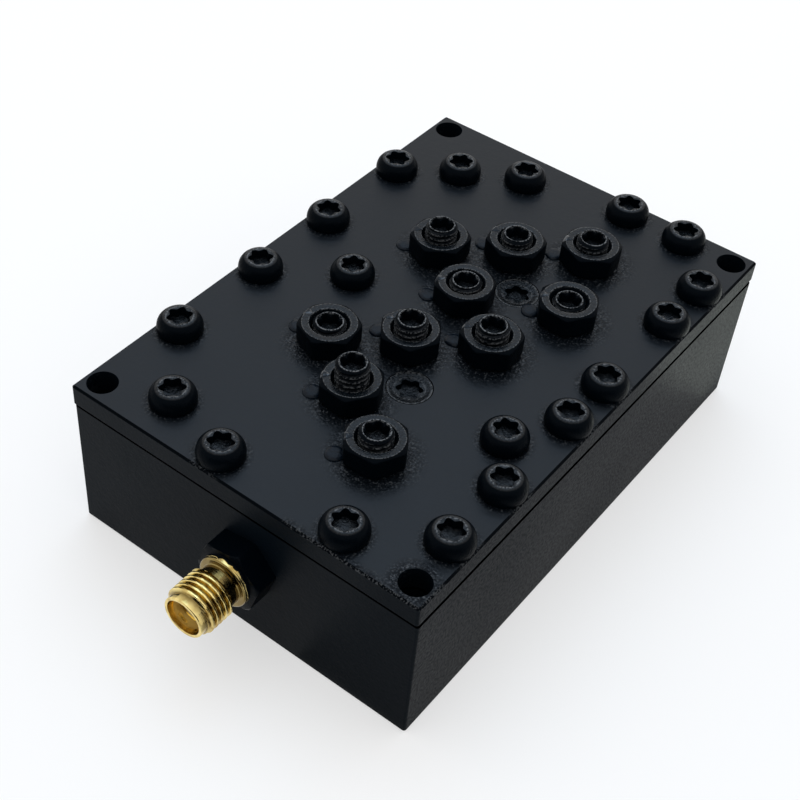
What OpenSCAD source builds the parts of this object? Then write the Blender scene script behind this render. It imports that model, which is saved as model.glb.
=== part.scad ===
// Five-pole coaxial cavity filter: a milled aluminium housing with a screwed lid,
// resonator posts in a zigzag row, tuning screws with lock nuts and two threaded ports.
// The long side lies along X, the ports face -X and +X, and Z = 0 is the underside.

/* [Housing] */
// Length of the housing, from port face to port face
housing_l = 72.4; // [68:0.1:90]
// Width of the housing
housing_w = 49; // [46:0.1:60]
// Height of the milled housing under its lid
housing_h = 19.2; // [17:0.1:24]
// Thickness of the floor under the cavities
floor_t = 3; // [2.4:0.1:4]
// Radius of the four upright corners
corner_r = 0.35; // [0.35:0.05:2]
// Width of the broken outer edges
edge_break = 0.25; // [0.1:0.05:0.3]

/* [Lid] */
// Thickness of the lid
lid_t = 3; // [2.4:0.1:4]
// How far the lid stands out over each end wall
lid_over = 0.2; // [0:0.05:0.4]

/* [Mounting holes] */
// Radius of the four through holes at the corners
corner_hole_r = 1.85; // [1.2:0.05:1.9]
// Distance of the corner holes from both faces
corner_inset = 2.4; // [2.3:0.1:3]

/* [Cavities] */
// Step between neighbouring resonators along X
row_pitch = 11.1; // [10:0.1:12]
// Offset of the whole resonator row along X
row_shift = -0.35; // [-0.6:0.05:0.6]
// Y of the second and fourth resonators
upper_row_y = 7.2; // [6.4:0.1:8]
// Y of the first, third and fifth resonators
lower_row_y = -8.2; // [-9:0.1:-7.4]
// Radius of each cavity
cavity_r = 8.6; // [7.8:0.1:9]
// Width of the windows between neighbouring cavities
iris_w = 7.6; // [5:0.1:8]
// Depth of those windows below the lid
iris_depth = 11; // [6:0.1:13]
// Y of the window between the third and fifth cavities
cross_y = -11.8; // [-12.6:0.1:-11]
// Width of that window
cross_w = 6; // [4.6:0.1:6.6]
// Depth of that window below the lid
cross_depth = 9; // [5:0.1:12]

/* [Resonator posts] */
// Radius of a post
post_r = 3.5; // [3.2:0.1:4.2]
// Radius of the disc at the top of a post
post_disc_r = 4.8; // [4.3:0.1:5.6]
// Thickness of that disc
post_disc_t = 1.2; // [0.8:0.1:2]
// Free height between a post and the lid
post_gap = 2.6; // [2:0.1:3.4]
// Radius of the blind bore that a tuning screw dips into
post_bore_r = 2.7; // [2.5:0.05:2.9]
// Depth of that bore
post_bore_depth = 4.2; // [3.6:0.1:4.4]
// Radius of the spigot that holds a post in the floor
spigot_r = 1.5; // [1:0.1:2]
// Length of that spigot
spigot_l = 2; // [1.4:0.1:2.2]

/* [Lid screws] */
// Radius of the shank
lid_screw_r = 1.5; // [1.2:0.05:1.6]
// Length under the head
lid_screw_l = 8; // [6:0.1:10]
// Radius of the pan head
head_r = 2.8; // [2.4:0.05:3]
// Height of the pan head
head_h = 2.15; // [2:0.05:3]
// Radius that rounds the shoulder of the head
head_round = 1.2; // [0.8:0.05:1.2]
// Radius over the lobes of the six-lobe recess
recess_r = 1.58; // [1.1:0.02:1.6]
// Depth of that recess
recess_depth = 1.3; // [0.8:0.1:1.6]
// Radius of the countersunk heads
sunk_head_r = 2.75; // [2.4:0.05:3]
// Depth of the recess in a countersunk head
sunk_recess_depth = 0.9; // [0.6:0.1:1]
// Y of the two countersunk screws
sunk_y = -4.7; // [-5.2:0.1:-4.2]
// Distance of the side and end screw rows from the faces
row_inset = 2.8; // [2.8:0.05:3.4]
// X of the screws along the +Y side
back_row_x = [-21.4, -6.9, 6.4, 21.1]; // [-26:0.1:26]
// X of the screws along the -Y side
front_row_x = [-27.3, -17.6, -4.4, 3.4, 17.8, 25.8]; // [-28:0.1:28]
// Y of the screws along the input end
input_row_y = [4.5, -12.6]; // [-15:0.1:15]
// Y of the screws along the output end
output_row_y = [-15.3, -6.9]; // [-16:0.1:15]
// Distance from the input end, and Y, of the screw that is set in from it
input_step = [5.5, 14.1]; // [4:0.1:16]
// Distance from the output end, and Y, of the first screw that is set in from it
output_step = [5.6, 7.3]; // [4:0.1:16]
// The same for the second one
output_step_2 = [10, 14.9]; // [4:0.1:16]
// Y of the screw behind the third cavity
inner_back_y = 12.4; // [11.6:0.1:13]
// Y of the screw between the first and third cavities
inner_front_y = -17.8; // [-18.6:0.1:-17]

/* [Tuning screws] */
// Radius of a tuning screw over its thread
tuning_r = 2; // [1.6:0.05:2.2]
// Length of a tuning screw
tuning_l = 12; // [11:0.1:13]
// Chamfer at both ends of a tuning screw
tuning_chamfer = 0.35; // [0.15:0.05:0.4]
// Radius over the lobes of the recess in a tuning screw
tuning_recess_r = 1.5; // [1:0.05:1.55]
// Depth of that recess
tuning_recess_depth = 1.6; // [1:0.1:2]
// Height of each resonator's screw above the lid
tuning_rise = [4, 3.2, 4.3, 4.5, 3.9]; // [3:0.1:5.4]
// Height of each coupling screw above the lid
coupling_rise = [5.4, 4.5, 3.3, 3.8]; // [3:0.1:5.4]
// Height of the cross-coupling screw above the lid
cross_rise = 3; // [2.6:0.1:5]

/* [Lock nuts] */
// Width across the flats of a lock nut
nut_af = 7; // [6:0.1:7.4]
// Thickness of a lock nut
nut_h = 3; // [2.2:0.1:3.2]
// Radius of the countersink at both ends of its thread
nut_sink_r = 2.55; // [2.35:0.05:2.6]
// Depth of that countersink
nut_sink_depth = 0.7; // [0.3:0.1:0.8]
// Radius of the sealing drop beside a nut, where it meets the lid
drop_r = 1.2; // [1:0.1:1.7]
// Height of that drop
drop_h = 0.4; // [0.3:0.05:1]

/* [Ports] */
// Y of the two port axes
port_y = -1.4; // [-2.4:0.1:-1]
// Height of the port axes above the underside
port_z = 11.2; // [9:0.1:11.4]
// Width across the flats of the hexagon at the wall
hex_af = 8; // [7.6:0.1:9]
// Thickness of that hexagon
hex_t = 3.05; // [2:0.05:4]
// Turn of the hexagon about the port axis
hex_turn = 41.7; // [0:0.1:60]
// Radius of the bare collar in front of the hexagon
collar_r = 3.35; // [3.2:0.05:3.8]
// Length of that collar
collar_l = 0.9; // [0.6:0.05:1.2]
// Radius of the neck behind the thread
neck_r = 2.6; // [2.5:0.05:2.9]
// Length of that neck
neck_l = 1.55; // [0.6:0.05:2]
// Radius over the coupling thread
thread_r = 3.175; // [3:0.005:3.3]
// Length of the coupling thread
thread_l = 3.5; // [3:0.1:5]
// Radius of the plain barrel in front of the thread
barrel_r = 2.7; // [2.6:0.05:2.85]
// Length of that barrel
barrel_l = 1.2; // [0.8:0.1:2]
// Radius of the socket at the mating end
socket_r = 2.3; // [2.25:0.01:2.4]
// Depth of that socket
socket_depth = 1.95; // [1.5:0.05:2.4]
// Radius of the threaded tail in the wall
tail_r = 3; // [2.7:0.05:3.1]
// Length of that tail
tail_l = 5; // [3:0.1:5.4]
// Radius of the insulator
insulator_r = 2.05; // [1.8:0.05:2.15]
// How far the insulator runs on behind the tail
insulator_tail = 1.8; // [1:0.1:2]
// Radius of the centre contact
contact_r = 0.635; // [0.5:0.005:0.8]
// Radius of the pin hole in the front of the contact
contact_hole_r = 0.47; // [0.3:0.01:0.48]
// Depth of that pin hole
contact_hole_depth = 2.5; // [1.5:0.1:4]
// How far the contact runs on past the tap wire
contact_run = 0.8; // [0.5:0.1:1.2]
// Radius of the tap wire
tap_r = 0.35; // [0.25:0.05:0.4]
// How far the tap wire enters its post
tap_depth = 1.5; // [0.8:0.1:2]

/* [Clearances] */
// Radial clearance of the tuning screws in the lid and the nuts
tuning_clear = 0.06; // [0.03:0.01:0.1]
// Radial clearance of the lid screws in the housing
tapped_clear = 0.05; // [0.03:0.01:0.1]
// Radial clearance of the lid screws in the lid
through_clear = 0.2; // [0.1:0.05:0.3]
// Radial clearance of spigots, tails, insulators, contacts and wires in their holes
seat_clear = 0.05; // [0.03:0.01:0.1]
// Free depth under whatever ends in a blind hole
blind_clear = 0.2; // [0.1:0.05:0.5]

/* [Hidden] */
$fn = 64;
// Overlap that lets a cut break cleanly through a face
cut = 1;
half_l = housing_l / 2;
half_w = housing_w / 2;
lid_top = housing_h + lid_t;
post_top = housing_h - post_gap;
reference_plane = hex_t + collar_l + neck_l + thread_l + barrel_l - socket_depth;
port_l = reference_plane + socket_depth;
chamfer_angle = 30;
// Share of a recess radius that is left between two lobes, and the radius of that hollow
lobe_waist = 0.72;
lobe_hollow = 0.43;
lobes = 6;
// Small radii and chamfers on turned pieces
tip_chamfer = 0.3;
collar_round = 0.25;
barrel_round = 0.15;
thread_run = 0.2;
post_foot = 0.4;
// Share of its radius by which the middle of a sealing drop stands off its nut
drop_offset = 0.75;

// Centres of the cavities, of the windows between them and of their screws
cavities = 5;
function cavity_at(i) = [row_shift + (i - 3) * row_pitch, i % 2 == 1 ? lower_row_y : upper_row_y];
function window_at(i) = (cavity_at(i) + cavity_at(i + 1)) / 2;
cross_at = [cavity_at(4)[0], cross_y];
tuned = concat(
    [for (i = [1:cavities]) cavity_at(i)],
    [for (i = [1:cavities - 1]) window_at(i)],
    [cross_at]);
rises = concat(tuning_rise, coupling_rise, [cross_rise]);

// How each lock nut came to rest, and on which side its sealing drop lies
nut_turns = [35, 8, 5, 5, 8, 26, 34, 15, 5, 28];
drop_turns = [128, 94, 106, 112, 112, 122, 92, 118, 94, 114];

// Every pan-head screw, and the two countersunk ones
pan_at = concat(
    [for (x = back_row_x) [x, half_w - row_inset]],
    [for (x = front_row_x) [x, row_inset - half_w]],
    [for (y = input_row_y) [row_inset - half_l, y]],
    [for (y = output_row_y) [half_l - row_inset, y]],
    [[input_step[0] - half_l, input_step[1]]],
    [for (s = [output_step, output_step_2]) [half_l - s[0], s[1]]],
    [[cavity_at(3)[0], inner_back_y], [cavity_at(2)[0], inner_front_y]]);
sunk_at = [for (i = [2, 4]) [cavity_at(i)[0], sunk_y]];
pan_turn_step = 37;
corner_at = [for (sx = [-1, 1], sy = [-1, 1]) [sx * (half_l - corner_inset), sy * (half_w - corner_inset)]];

paint = "#1b1c1f";
bare = "#c9ccd0";
gold = "#d4ac4e";
dielectric = "#f1ede2";
copper = "#b87348";
lacquer = "#101114";

// Plate of size l by w by t with round upright corners and broken top and bottom edges
module plate(l, w, t) {
    b = edge_break;
    section = function (s) [
        [-s, b], [b - s, 0], [s - b, 0], [s, b],
        [s, t - b], [s - b, t], [b - s, t], [-s, t - b]];
    rotate([90, 0, 90])
        linear_extrude(l - 2 * corner_r, center = true)
            polygon(section(w / 2));
    rotate([90, 0, 0])
        linear_extrude(w - 2 * corner_r, center = true)
            polygon(section(l / 2));
    for (sx = [-1, 1], sy = [-1, 1])
        translate([sx * (l / 2 - corner_r), sy * (w / 2 - corner_r), 0])
            rotate_extrude()
                polygon([
                    [0, 0], [corner_r - b, 0], [corner_r, b],
                    [corner_r, t - b], [corner_r - b, t], [0, t]]);
}

// Flat outline of a six-lobe driver recess
module six_lobe(r) {
    hollow = r * lobe_hollow;
    difference() {
        circle(r = r);
        for (i = [0:lobes - 1])
            rotate((i + 0.5) * 360 / lobes)
                translate([r * lobe_waist + hollow, 0])
                    circle(r = hollow);
    }
}

// Round hole of radius r and depth d, cut down from z = 0
module hole_down(r, d) {
    translate([0, 0, -d])
        cylinder(r = r, h = d + cut);
}

// Six-lobe recess of depth d, cut down from z = 0
module hole_lobe(r, d) {
    translate([0, 0, -d])
        linear_extrude(d + cut)
            six_lobe(r);
}

// Window of width w and depth d between two points, cut down from the top of the housing
module window(from, to, w, d) {
    way = to - from;
    translate([(from[0] + to[0]) / 2, (from[1] + to[1]) / 2, housing_h - d + (d + cut) / 2])
        rotate(atan2(way[1], way[0]))
            cube([norm(way), w, d + cut], center = true);
}

// Port pieces are drawn with the wall at z = 0 and +Z outwards, then laid on the end walls
module at_input() {
    translate([-half_l, port_y, port_z])
        rotate([0, -90, 0])
            children();
}
module at_output() {
    translate([half_l, port_y, port_z])
        mirror([1, 0, 0])
            rotate([0, -90, 0])
                children();
}

// How far the axis of post i lies in from its end wall
function post_in(i) = half_l - abs(cavity_at(i)[0]);

module housing() {
    color(paint)
        difference() {
            plate(housing_l, housing_w, housing_h);
            for (i = [1:cavities]) {
                translate([each cavity_at(i), floor_t])
                    cylinder(r = cavity_r, h = housing_h);
                translate([each cavity_at(i), floor_t])
                    hole_down(spigot_r + seat_clear, spigot_l + blind_clear);
            }
            for (i = [1:cavities - 1])
                window(cavity_at(i), cavity_at(i + 1), iris_w, iris_depth);
            window([cavity_at(3)[0], cross_y], [cavity_at(5)[0], cross_y], cross_w, cross_depth);
            for (p = concat(pan_at, sunk_at))
                translate([each p, housing_h])
                    hole_down(lid_screw_r + tapped_clear, lid_screw_l - lid_t + blind_clear);
            for (p = corner_at)
                translate([each p, housing_h])
                    hole_down(corner_hole_r, housing_h + cut);
            at_input()
                port_bore(1);
            at_output()
                port_bore(cavities);
        }
}

// Stepped bore that takes a port's tail and lets its contact into the cavity of post i
module port_bore(i) {
    hole_down(tail_r + seat_clear, tail_l + blind_clear);
    hole_down(insulator_r + seat_clear, post_in(i));
}

module lid() {
    color(paint)
        difference() {
            translate([0, 0, housing_h])
                plate(housing_l + 2 * lid_over, housing_w, lid_t);
            for (p = pan_at)
                translate([each p, lid_top])
                    hole_down(lid_screw_r + through_clear, lid_t + cut);
            for (p = sunk_at)
                translate([each p, lid_top]) {
                    hole_down(lid_screw_r + through_clear, lid_t + cut);
                    sunk_cone(seat_clear);
                }
            for (p = tuned)
                translate([each p, lid_top])
                    hole_down(tuning_r + tuning_clear, lid_t + cut);
            for (p = corner_at)
                translate([each p, lid_top])
                    hole_down(corner_hole_r, lid_t + cut);
        }
}

// Square cone under a countersunk head whose face is at z = 0, grown by a clearance
module sunk_cone(grow) {
    r = sunk_head_r + grow;
    translate([0, 0, -r])
        cylinder(r1 = 0, r2 = r, h = r);
}

// Shank of a lid screw as a turned outline that hangs down from y = 0
module shank_outline() {
    polygon([
        [0, -lid_screw_l], [lid_screw_r - tip_chamfer, -lid_screw_l],
        [lid_screw_r, tip_chamfer - lid_screw_l], [lid_screw_r, 0], [0, 0]]);
}

module pan_screw() {
    difference() {
        rotate_extrude() {
            shank_outline();
            intersection() {
                square([head_r, head_h]);
                union() {
                    square([head_r, head_h - head_round]);
                    square([head_r - head_round, head_h]);
                    translate([head_r - head_round, head_h - head_round])
                        circle(r = head_round);
                }
            }
        }
        translate([0, 0, head_h])
            hole_lobe(recess_r, recess_depth);
    }
}

module lid_screws() {
    color(paint)
        for (i = [0:len(pan_at) - 1])
            translate([each pan_at[i], lid_top])
                rotate(i * pan_turn_step)
                    pan_screw();
}

module countersunk_screws() {
    color(paint)
        for (i = [0:len(sunk_at) - 1])
            translate([each sunk_at[i], lid_top])
                rotate(i * pan_turn_step)
                    difference() {
                        union() {
                            sunk_cone(0);
                            rotate_extrude()
                                shank_outline();
                        }
                        hole_lobe(recess_r, sunk_recess_depth);
                    }
}

// Hexagon prism of width af across its flats
module hexagon(af, h) {
    cylinder(d = af / cos(30), h = h, $fn = 6);
}

// Turned outline that takes the corners off both ends of a hexagon
module crown(af, h) {
    flat_r = af / 2 - tip_chamfer / 2;
    corner = af / cos(30) / 2;
    drop = (corner - flat_r) * tan(chamfer_angle);
    rotate_extrude()
        polygon([[0, 0], [flat_r, 0], [corner, drop], [corner, h - drop], [flat_r, h], [0, h]]);
}

module lock_nut() {
    bore_r = tuning_r + tuning_clear;
    difference() {
        intersection() {
            hexagon(nut_af, nut_h);
            crown(nut_af, nut_h);
        }
        translate([0, 0, nut_h])
            hole_down(bore_r, nut_h + cut);
        rotate_extrude()
            polygon([[0, 0], [nut_sink_r, 0], [bore_r, nut_sink_depth], [0, nut_sink_depth]]);
        rotate_extrude()
            polygon([
                [0, nut_h - nut_sink_depth], [bore_r, nut_h - nut_sink_depth],
                [nut_sink_r, nut_h], [0, nut_h]]);
    }
}

module lock_nuts() {
    color(paint)
        for (i = [0:len(tuned) - 1])
            translate([each tuned[i], lid_top])
                rotate(nut_turns[i])
                    lock_nut();
}

// Domes of lacquer that lie on the lid and run up against the nuts
module sealing_drops() {
    ball_r = (drop_r ^ 2 + drop_h ^ 2) / (2 * drop_h);
    reach = nut_af / 2 + drop_r * drop_offset;
    color(lacquer)
        for (i = [0:len(tuned) - 1])
            translate([each tuned[i], lid_top])
                difference() {
                    rotate(drop_turns[i])
                        translate([reach, 0, drop_h - ball_r])
                            sphere(r = ball_r);
                    translate([0, 0, -2 * ball_r])
                        cylinder(r = reach + 2 * ball_r, h = 2 * ball_r);
                    rotate(nut_turns[i])
                        hexagon(nut_af, nut_h);
                }
}

// Screw i of the tuned list, counted from 0
module tuning_screw(i) {
    c = tuning_chamfer;
    color(paint)
        translate([each tuned[i], lid_top + rises[i]])
            difference() {
                rotate_extrude()
                    polygon([
                        [0, -tuning_l], [tuning_r - c, -tuning_l], [tuning_r, c - tuning_l],
                        [tuning_r, -c], [tuning_r - c, 0], [0, 0]]);
                hole_lobe(tuning_recess_r, tuning_recess_depth);
            }
}

// Turned post with a top disc, a blind bore for its tuning screw and a spigot in the floor
module resonator(i) {
    color(bare)
        difference() {
            translate([each cavity_at(i), 0])
                rotate_extrude()
                    polygon([
                        [0, floor_t - spigot_l], [spigot_r, floor_t - spigot_l], [spigot_r, floor_t],
                        [post_r + post_foot, floor_t], [post_r + post_foot, floor_t + post_foot],
                        [post_r, floor_t + 2 * post_foot], [post_r, post_top - post_disc_t],
                        [post_disc_r, post_top - post_disc_t], [post_disc_r, post_top],
                        [post_bore_r, post_top], [post_bore_r, post_top - post_bore_depth],
                        [0, post_top - post_bore_depth]]);
            if (i == 1)
                at_input()
                    tap_wire(i, seat_clear, blind_clear);
            if (i == cavities)
                at_output()
                    tap_wire(i, seat_clear, blind_clear);
        }
}

// Straight wire from the far side of the contact into post i, grown by a clearance and run on at its ends
module tap_wire(i, grow, run_on) {
    across = port_y - cavity_at(i)[1];
    translate([0, contact_r + run_on, -post_in(i)])
        rotate([90, 0, 0])
            cylinder(r = tap_r + grow, h = contact_r + across - post_r + tap_depth + 2 * run_on);
}

module tap(i) {
    color(copper)
        tap_wire(i, 0, 0);
}

// One-piece connector shell: tail, hexagon, collar, neck, threaded barrel and socket
module port_shell() {
    neck_z = hex_t + collar_l;
    thread_z = neck_z + neck_l;
    barrel_z = thread_z + thread_l;
    color(gold)
        difference() {
            union() {
                rotate_extrude()
                    polygon([
                        [0, -tail_l], [tail_r - tip_chamfer, -tail_l], [tail_r, tip_chamfer - tail_l],
                        [tail_r, hex_t / 2], [collar_r, hex_t / 2],
                        [collar_r, neck_z - collar_round], [collar_r - collar_round, neck_z],
                        [neck_r, neck_z], [neck_r, thread_z - thread_run], [thread_r, thread_z],
                        [thread_r, barrel_z], [barrel_r, barrel_z + thread_run],
                        [barrel_r, port_l - barrel_round], [barrel_r - barrel_round, port_l], [0, port_l]]);
                intersection() {
                    rotate(hex_turn)
                        hexagon(hex_af, hex_t);
                    crown(hex_af, hex_t + tip_chamfer);
                }
            }
            translate([0, 0, port_l])
                hole_down(insulator_r + seat_clear, port_l + tail_l + cut);
            translate([0, 0, port_l])
                hole_down(socket_r, socket_depth);
        }
}

// Tube of dielectric from the reference plane back through the wall
module port_insulator() {
    tail_z = -tail_l - insulator_tail;
    color(dielectric)
        difference() {
            translate([0, 0, tail_z])
                cylinder(r = insulator_r, h = reference_plane - tail_z);
            translate([0, 0, reference_plane])
                hole_down(contact_r + seat_clear, reference_plane - tail_z + cut);
        }
}

// Centre contact from the reference plane to its end in the cavity of post i
module port_contact(i) {
    tail_z = -post_in(i) - contact_run;
    color(gold)
        difference() {
            translate([0, 0, tail_z])
                cylinder(r = contact_r, h = reference_plane - tail_z);
            translate([0, 0, reference_plane])
                hole_down(contact_hole_r, contact_hole_depth);
            tap_wire(i, seat_clear, cut);
        }
}

housing();
lid();
lid_screws();
countersunk_screws();
lock_nuts();
sealing_drops();
for (i = [1:cavities])
    tuning_screw(i - 1);
for (i = [1:cavities - 1])
    tuning_screw(cavities + i - 1);
tuning_screw(len(tuned) - 1);  // cross_coupling_screw
for (i = [1:cavities])
    resonator(i);
at_input() port_shell();  // input_shell
at_input() port_insulator();  // input_insulator
at_input() port_contact(1);  // input_contact
at_input() tap(1);  // input_tap
at_output() port_shell();  // output_shell
at_output() port_insulator();  // output_insulator
at_output() port_contact(cavities);  // output_contact
at_output() tap(cavities);  // output_tap
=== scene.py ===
"""Looks of a five-pole cavity filter: painted block, lock-nutted tuning screws and two gold ports."""
import logging
import math
from dataclasses import dataclass, replace
from enum import Enum
from functools import reduce
from typing import NamedTuple, Sequence

import bmesh
import bpy
import numpy as np
from mathutils import Matrix, Vector


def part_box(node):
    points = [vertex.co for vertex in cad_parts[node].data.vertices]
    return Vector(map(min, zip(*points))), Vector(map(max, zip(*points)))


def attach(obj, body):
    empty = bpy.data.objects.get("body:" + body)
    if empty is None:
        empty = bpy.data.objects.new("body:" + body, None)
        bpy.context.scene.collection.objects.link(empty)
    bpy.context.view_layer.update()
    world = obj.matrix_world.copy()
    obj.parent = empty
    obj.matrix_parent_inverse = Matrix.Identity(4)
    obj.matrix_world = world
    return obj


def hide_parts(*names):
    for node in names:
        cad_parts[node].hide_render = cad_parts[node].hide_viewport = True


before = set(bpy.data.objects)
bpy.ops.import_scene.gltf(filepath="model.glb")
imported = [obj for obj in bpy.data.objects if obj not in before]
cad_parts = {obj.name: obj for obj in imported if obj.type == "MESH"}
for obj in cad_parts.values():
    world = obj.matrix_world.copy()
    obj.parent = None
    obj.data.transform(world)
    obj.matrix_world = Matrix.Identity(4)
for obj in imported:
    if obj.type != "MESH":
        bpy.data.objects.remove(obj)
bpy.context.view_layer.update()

LOG = logging.getLogger("cavity_filter")
MM = 0.001
BLOCK = "filter_body"
TRACE = "trace"
POLES = 5
THREAD_ROOT = 0.12
THREAD_FLANK = 0.62
WELD_M = 1e-7
SLIVER_M = 1e-8
MIDDLE = np.zeros((1, 1))
ONE_LAYER = 1.0
THREE_LAYERS = 3.0
WHITE = (1.0, 1.0, 1.0)
# Black of the matt painted shade.
PAINTED_SHADE_BLACK = (0.0, 0.0, 0.0)

Array = np.ndarray
Band = tuple[float, float]
Triple = tuple[float, float, float]
Point = Triple
Colour = Triple
Inputs = dict[str | int, object]
Material = bpy.types.Material
Socket = bpy.types.NodeSocket


class Slot(Enum):
    """Names of three material slots."""

    FASTENERS = "painted_fasteners"
    LACQUER = "sealing_lacquer"
    GOLD = "gold_plate"


class End(Enum):
    """The two end walls, with the way along X that each one faces."""

    INPUT = -1
    OUTPUT = 1

    @property
    def word(self) -> str:
        """The name that the end's nodes begin with."""
        return self.name.lower()


class Axis(Enum):
    """The part's axes."""

    X = 0
    Y = 1
    Z = 2


# Shader arithmetic


class Value:
    """A number that varies over a surface, for arithmetic written as Python expressions."""

    def __init__(self, shader: "Shader", socket: Socket) -> None:
        """Wrap an output socket of one shader's tree."""
        self.shader = shader
        self.socket = socket

    def _math(self, operation: str, *others: "Value | float") -> "Value":
        """Add a Math node with this value first."""
        return self.shader.math(operation, self, *others)

    def __add__(self, other: "Value | float") -> "Value":
        """Sum."""
        return self._math("ADD", other)

    __radd__ = __add__

    def __sub__(self, other: "Value | float") -> "Value":
        """Difference."""
        return self._math("SUBTRACT", other)

    def __rsub__(self, other: float) -> "Value":
        """Difference from a plain number."""
        return self.shader.math("SUBTRACT", other, self)

    def __mul__(self, other: "Value | float") -> "Value":
        """Product."""
        return self._math("MULTIPLY", other)

    __rmul__ = __mul__

    def __abs__(self) -> "Value":
        """Size without its sign."""
        return self._math("ABSOLUTE")

    def least(self, other: "Value | float") -> "Value":
        """The smaller of two values."""
        return self._math("MINIMUM", other)

    def most(self, other: "Value | float") -> "Value":
        """The larger of two values."""
        return self._math("MAXIMUM", other)

    def step(self, low: float, high: float) -> "Value":
        """Smooth rise from 0 at low to 1 at high, or a fall if low is the larger."""
        smooth = {"interpolation_type": "SMOOTHSTEP"}
        sockets = {"Value": self, "From Min": low, "From Max": high}
        return self.shader.value("ShaderNodeMapRange", "Result", smooth, sockets)


class Shader:
    """One node tree, with short ways to add its nodes."""

    def __init__(self, tree: bpy.types.NodeTree) -> None:
        """Empty the tree and start afresh."""
        self.tree = tree
        tree.nodes.clear()

    def node(self, kind: str, settings: dict[str, object], sockets: Inputs) -> bpy.types.Node:
        """Add one node.

        Args:
            kind: Blender's node type.
            settings: The node's own properties, set first.
            sockets: What goes into each input: a Value, an output socket or a constant.

        Returns:
            The new node.
        """
        made = self.tree.nodes.new(kind)
        for key, setting in settings.items():
            setattr(made, key, setting)
        for key, given in sockets.items():
            source = given.socket if isinstance(given, Value) else given
            target = made.inputs[key]
            if isinstance(source, Socket):
                self.tree.links.new(source, target)
            else:
                target.default_value = (*source, 1.0) if target.type == "RGBA" else source
        return made

    def value(self, kind: str, output: str | int, settings: dict[str, object], sockets: Inputs) -> Value:
        """Add one node and take one of its outputs as a number."""
        return Value(self, self.node(kind, settings, sockets).outputs[output])

    def math(self, operation: str, *terms: Value | float) -> Value:
        """Add a Math node on values and plain numbers."""
        return self.value("ShaderNodeMath", 0, {"operation": operation}, dict(enumerate(terms)))

    def place(self) -> Socket:
        """Object coordinates, in metres."""
        return self.node("ShaderNodeTexCoord", {}, {}).outputs["Object"]

    def facing(self) -> Socket:
        """The surface's own direction in the object's frame."""
        return self.node("ShaderNodeTexCoord", {}, {}).outputs["Normal"]

    def trace(self) -> Value:
        """A piece's own share of a painted mark, which its points say: a painted highlight on the fasteners'
        edges and painted shade in the gold thread's grooves.
        """
        return self.value("ShaderNodeAttribute", "Fac", {"attribute_name": TRACE}, {})

    def seen(self) -> Value:
        """1 for rays that show the background: straight ones, mirrored ones and ones through glass."""
        path = self.node("ShaderNodeLightPath", {}, {})
        kinds = ("Camera", "Glossy", "Transmission")
        return reduce(Value.most, [Value(self, path.outputs[f"Is {kind} Ray"]) for kind in kinds])

    def part(self, vector: Socket, axis: Axis) -> Value:
        """One axis of a vector."""
        return self.value("ShaderNodeSeparateXYZ", axis.name, {}, {"Vector": vector})

    def distance(self, vector: Socket, point: Point) -> Value:
        """How far a vector is from a fixed point."""
        return self.value("ShaderNodeVectorMath", "Value", {"operation": "DISTANCE"}, {0: vector, 1: point})

    def stretched(self, vector: Socket, scale: Sequence[float]) -> Socket:
        """A vector with each axis multiplied by its own factor."""
        return self.node("ShaderNodeMapping", {}, {"Vector": vector, "Scale": tuple(scale)}).outputs["Vector"]

    def noise(self, vector: Socket, grain_mm: float, detail: float = 2.0) -> Value:
        """Cloudy noise about 0.5, with grains of one size and a number of finer layers on them."""
        sockets = {"Vector": vector, "Scale": 1.0 / (grain_mm * MM), "Detail": detail}
        return self.value("ShaderNodeTexNoise", "Fac", {}, sockets)

    def mix(self, share: Value, first: Socket | Colour, second: Socket | Colour) -> Socket:
        """Mix two colours: a share of 0 gives the first, 1 the second."""
        return self.node("ShaderNodeMix", {"data_type": "RGBA"}, {0: share, 6: first, 7: second}).outputs[2]

    def bump(self, height: Value, depth_mm: float) -> Socket:
        """Surface direction of a fine relief whose height 1 is depth_mm tall."""
        node = self.node("ShaderNodeBump", {}, {"Height": height, "Distance": depth_mm * MM})
        return node.outputs["Normal"]

    def principled(self, sockets: Inputs) -> Socket:
        """The main surface shader with the inputs given."""
        return self.node("ShaderNodeBsdfPrincipled", {}, sockets).outputs["BSDF"]

    def mix_surfaces(self, share: Value, first: Socket, second: Socket) -> Socket:
        """Mix two surface shaders: a share of 0 gives the first, 1 the second."""
        return self.node("ShaderNodeMixShader", {}, {0: share, 1: first, 2: second}).outputs["Shader"]


# Finishes


@dataclass(frozen=True)
class Finish:
    """A named finish. A pair called a band is where a mark starts and where it is full."""

    name: str

    def skin(self, shader: Shader) -> Socket:
        """The surface shader, which each kind of finish builds for itself."""
        raise NotImplementedError

    def material(self) -> Material:
        """Make the finish's material.

        Returns:
            The material.
        """
        made = bpy.data.materials.new(self.name)
        made.use_nodes = True
        shader = Shader(made.node_tree)
        shader.node("ShaderNodeOutputMaterial", {}, {"Surface": self.skin(shader)})
        return made


@dataclass(frozen=True)
class DrySpray:
    """Half-dry paint that settles as grit round raised pieces, where the gun couldn't reach well."""

    places: tuple[Band, ...]
    inner_mm: float
    outer_mm: float
    strength: float

    def share(self, shader: Shader, place: Socket) -> Value:
        """How much grit lies at a point.

        Args:
            shader: Shader of the paint.
            place: Object coordinates.

        Returns:
            The strength inside the inner distance of the nearest place, 0 beyond the outer one.
        """
        flat = shader.stretched(place, (1.0, 1.0, 0.0))
        gaps = [shader.distance(flat, (x * MM, y * MM, 0.0)) for x, y in self.places]
        return reduce(Value.least, gaps).step(self.outer_mm * MM, self.inner_mm * MM) * self.strength


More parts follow.
